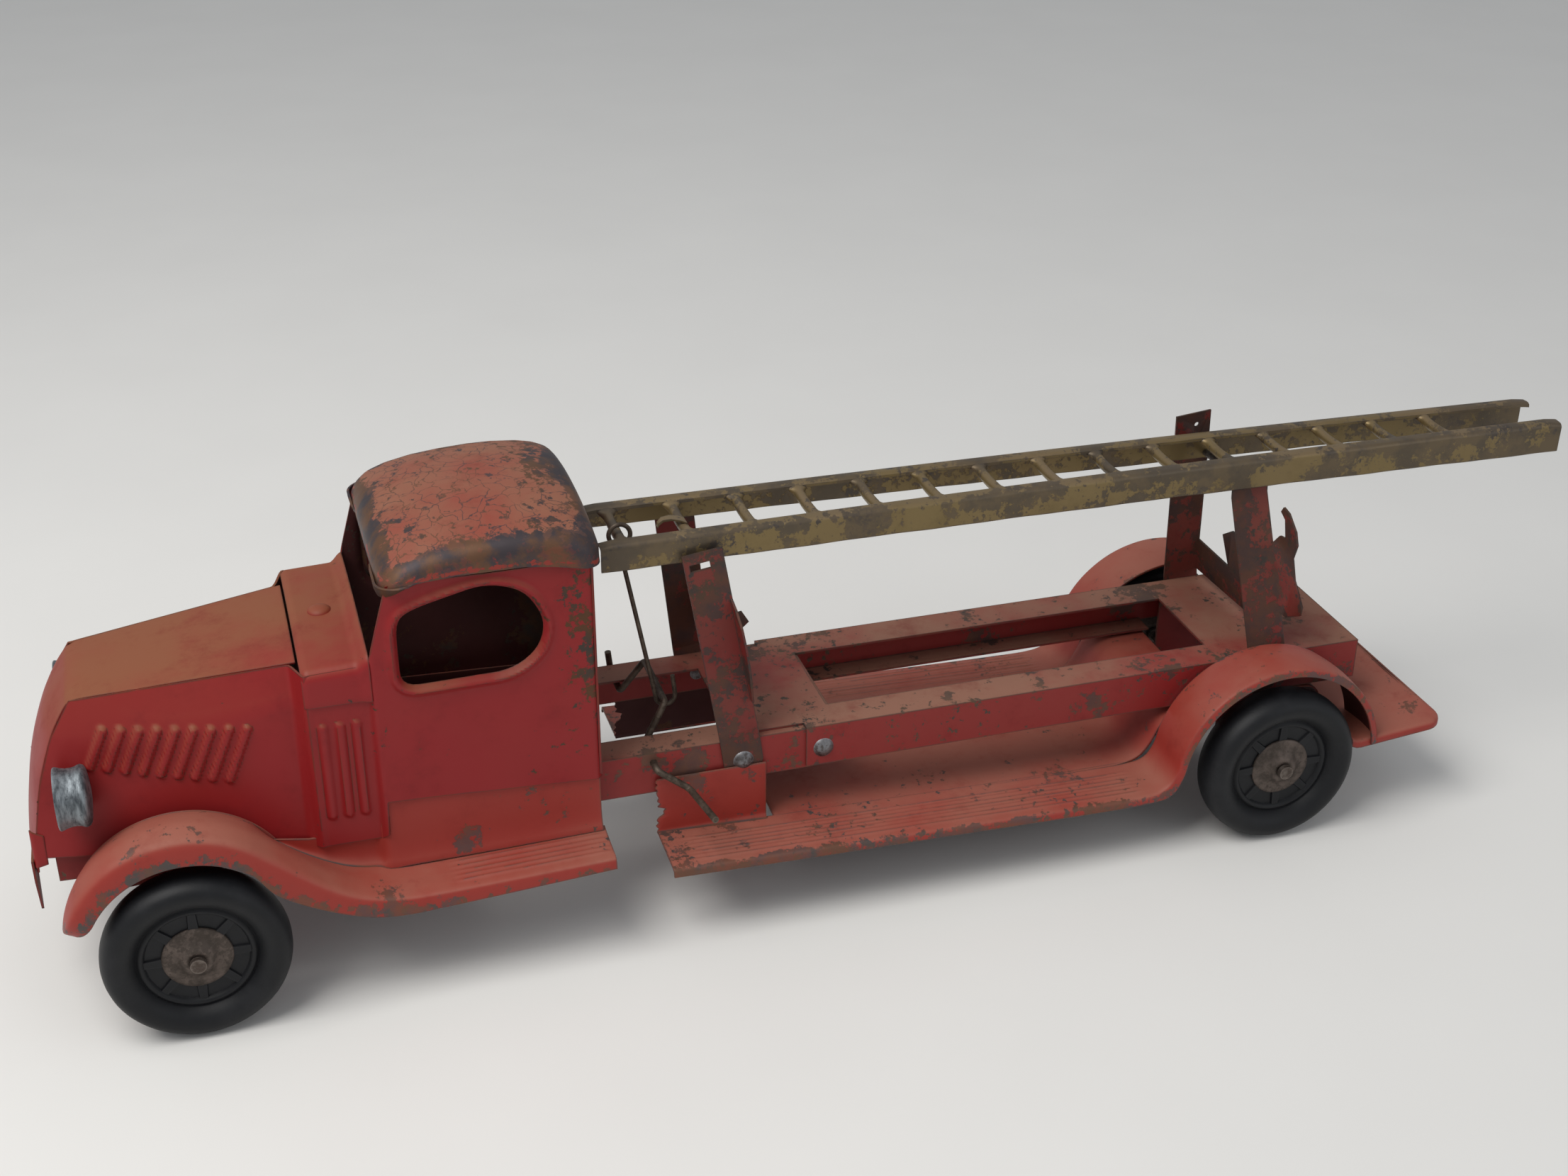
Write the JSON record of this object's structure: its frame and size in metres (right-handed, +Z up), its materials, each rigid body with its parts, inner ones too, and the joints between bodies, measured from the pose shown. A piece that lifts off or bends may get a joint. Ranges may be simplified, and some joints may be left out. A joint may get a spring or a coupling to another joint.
{
  "type": "toy fire engine",
  "caption": "Pressed-steel toy ladder truck with an enclosed cab, open channel deck, riveted brackets and a long tilting ladder worked by a wire crank and link, on disc wheels.",
  "frame": {"origin": "bottom centre of the whole truck's box, on the floor", "axes": "+X towards the tail, -Y towards the crank handle, +Z up"},
  "size_m": [0.7174, 0.1578, 0.2031],
  "materials": {
    "body_paint": "worn red enamel over sheet steel",
    "frame_paint": "worn dark red enamel over sheet steel",
    "roof_paint": "faded red enamel, rubbed to metal on the crown",
    "bracket_paint": "worn red enamel, rusty at the edges",
    "lamp_zinc": "dull galvanised, spotted",
    "hub_steel": "tarnished plated steel",
    "axle_steel": "tarnished bright steel",
    "rivet_steel": "rusty bare steel",
    "wire_steel": "dark drawn wire",
    "ladder_finish": "dark bronze lacquer, worn",
    "tyre_rubber": "hard aged rubber, dusty"
  },
  "bodies": {
    "truck": {"front_frame": "frame_paint", "rear_frame": "frame_paint", "front_axle_hanger": "frame_paint", "rear_axle_hanger": "frame_paint", "front_axle": "axle_steel", "rear_axle": "axle_steel", "hood_panel": "body_paint", "cowl_cap": "body_paint", "cowl_rivet": "rivet_steel", "cab_back": "body_paint", "cab_roof": "roof_paint", "front_apron": "body_paint", "rear_platform": "body_paint", "front_bracket": "bracket_paint", "rear_bracket": "bracket_paint", "front_bracket_rivets": "rivet_steel", "frame_rivets": "rivet_steel", "rear_bracket_rivets": "rivet_steel", "ladder_pin": "rivet_steel", "body_side_left": "body_paint", "body_side_right": "body_paint", "headlamp_left": "lamp_zinc", "headlamp_right": "lamp_zinc", "front_wing_left": "body_paint", "front_wing_right": "body_paint", "rear_wing_left": "body_paint", "rear_wing_right": "body_paint"},
    "ladder": {"ladder": "ladder_finish"},
    "lift_crank": {"lift_crank": "wire_steel"},
    "lift_link": {"lift_link": "wire_steel"},
    "wheel_front_left": {"tyre_front_left": "tyre_rubber", "hub_outer_front_left": "hub_steel", "hub_inner_front_left": "hub_steel"},
    "wheel_front_right": {"tyre_front_right": "tyre_rubber", "hub_outer_front_right": "hub_steel", "hub_inner_front_right": "hub_steel"},
    "wheel_rear_left": {"tyre_rear_left": "tyre_rubber", "hub_outer_rear_left": "hub_steel", "hub_inner_rear_left": "hub_steel"},
    "wheel_rear_right": {"tyre_rear_right": "tyre_rubber", "hub_outer_rear_right": "hub_steel", "hub_inner_rear_right": "hub_steel"}
  },
  "joints": [
    {"name": "ladder_tilt", "type": "hinge", "parent": "truck", "child": "ladder", "pos_m": [0.18725, 0, 0.16], "axis": [0, -1, 0], "range_deg": [0, 3.98]},
    {"name": "crank_turn", "type": "hinge", "parent": "truck", "child": "lift_crank", "pos_m": [-0.09925, 0, 0.0743], "axis": [0, 1, 0], "range_deg": [0, 60]},
    {"name": "link_swing", "type": "hinge", "parent": "ladder", "child": "lift_link", "pos_m": [-0.10385, 0, 0.17074], "axis": [0, -1, 0], "range_deg": [0, 2.7]},
    {"name": "wheel_front_left_spin", "type": "hinge", "parent": "truck", "child": "wheel_front_left", "pos_m": [-0.29775, -0.068, 0.038], "axis": [0, 1, 0], "continuous": true},
    {"name": "wheel_front_right_spin", "type": "hinge", "parent": "truck", "child": "wheel_front_right", "pos_m": [-0.29775, 0.068, 0.038], "axis": [0, 1, 0], "continuous": true},
    {"name": "wheel_rear_left_spin", "type": "hinge", "parent": "truck", "child": "wheel_rear_left", "pos_m": [0.19225, -0.068, 0.038], "axis": [0, 1, 0], "continuous": true},
    {"name": "wheel_rear_right_spin", "type": "hinge", "parent": "truck", "child": "wheel_rear_right", "pos_m": [0.19225, 0.068, 0.038], "axis": [0, 1, 0], "continuous": true}
  ],
  "couplings": [
    {"joint": "crank_turn", "follows": "ladder_tilt", "ratio": 15.075},
    {"joint": "link_swing", "follows": "ladder_tilt", "ratio": 0.67819}
  ]
}
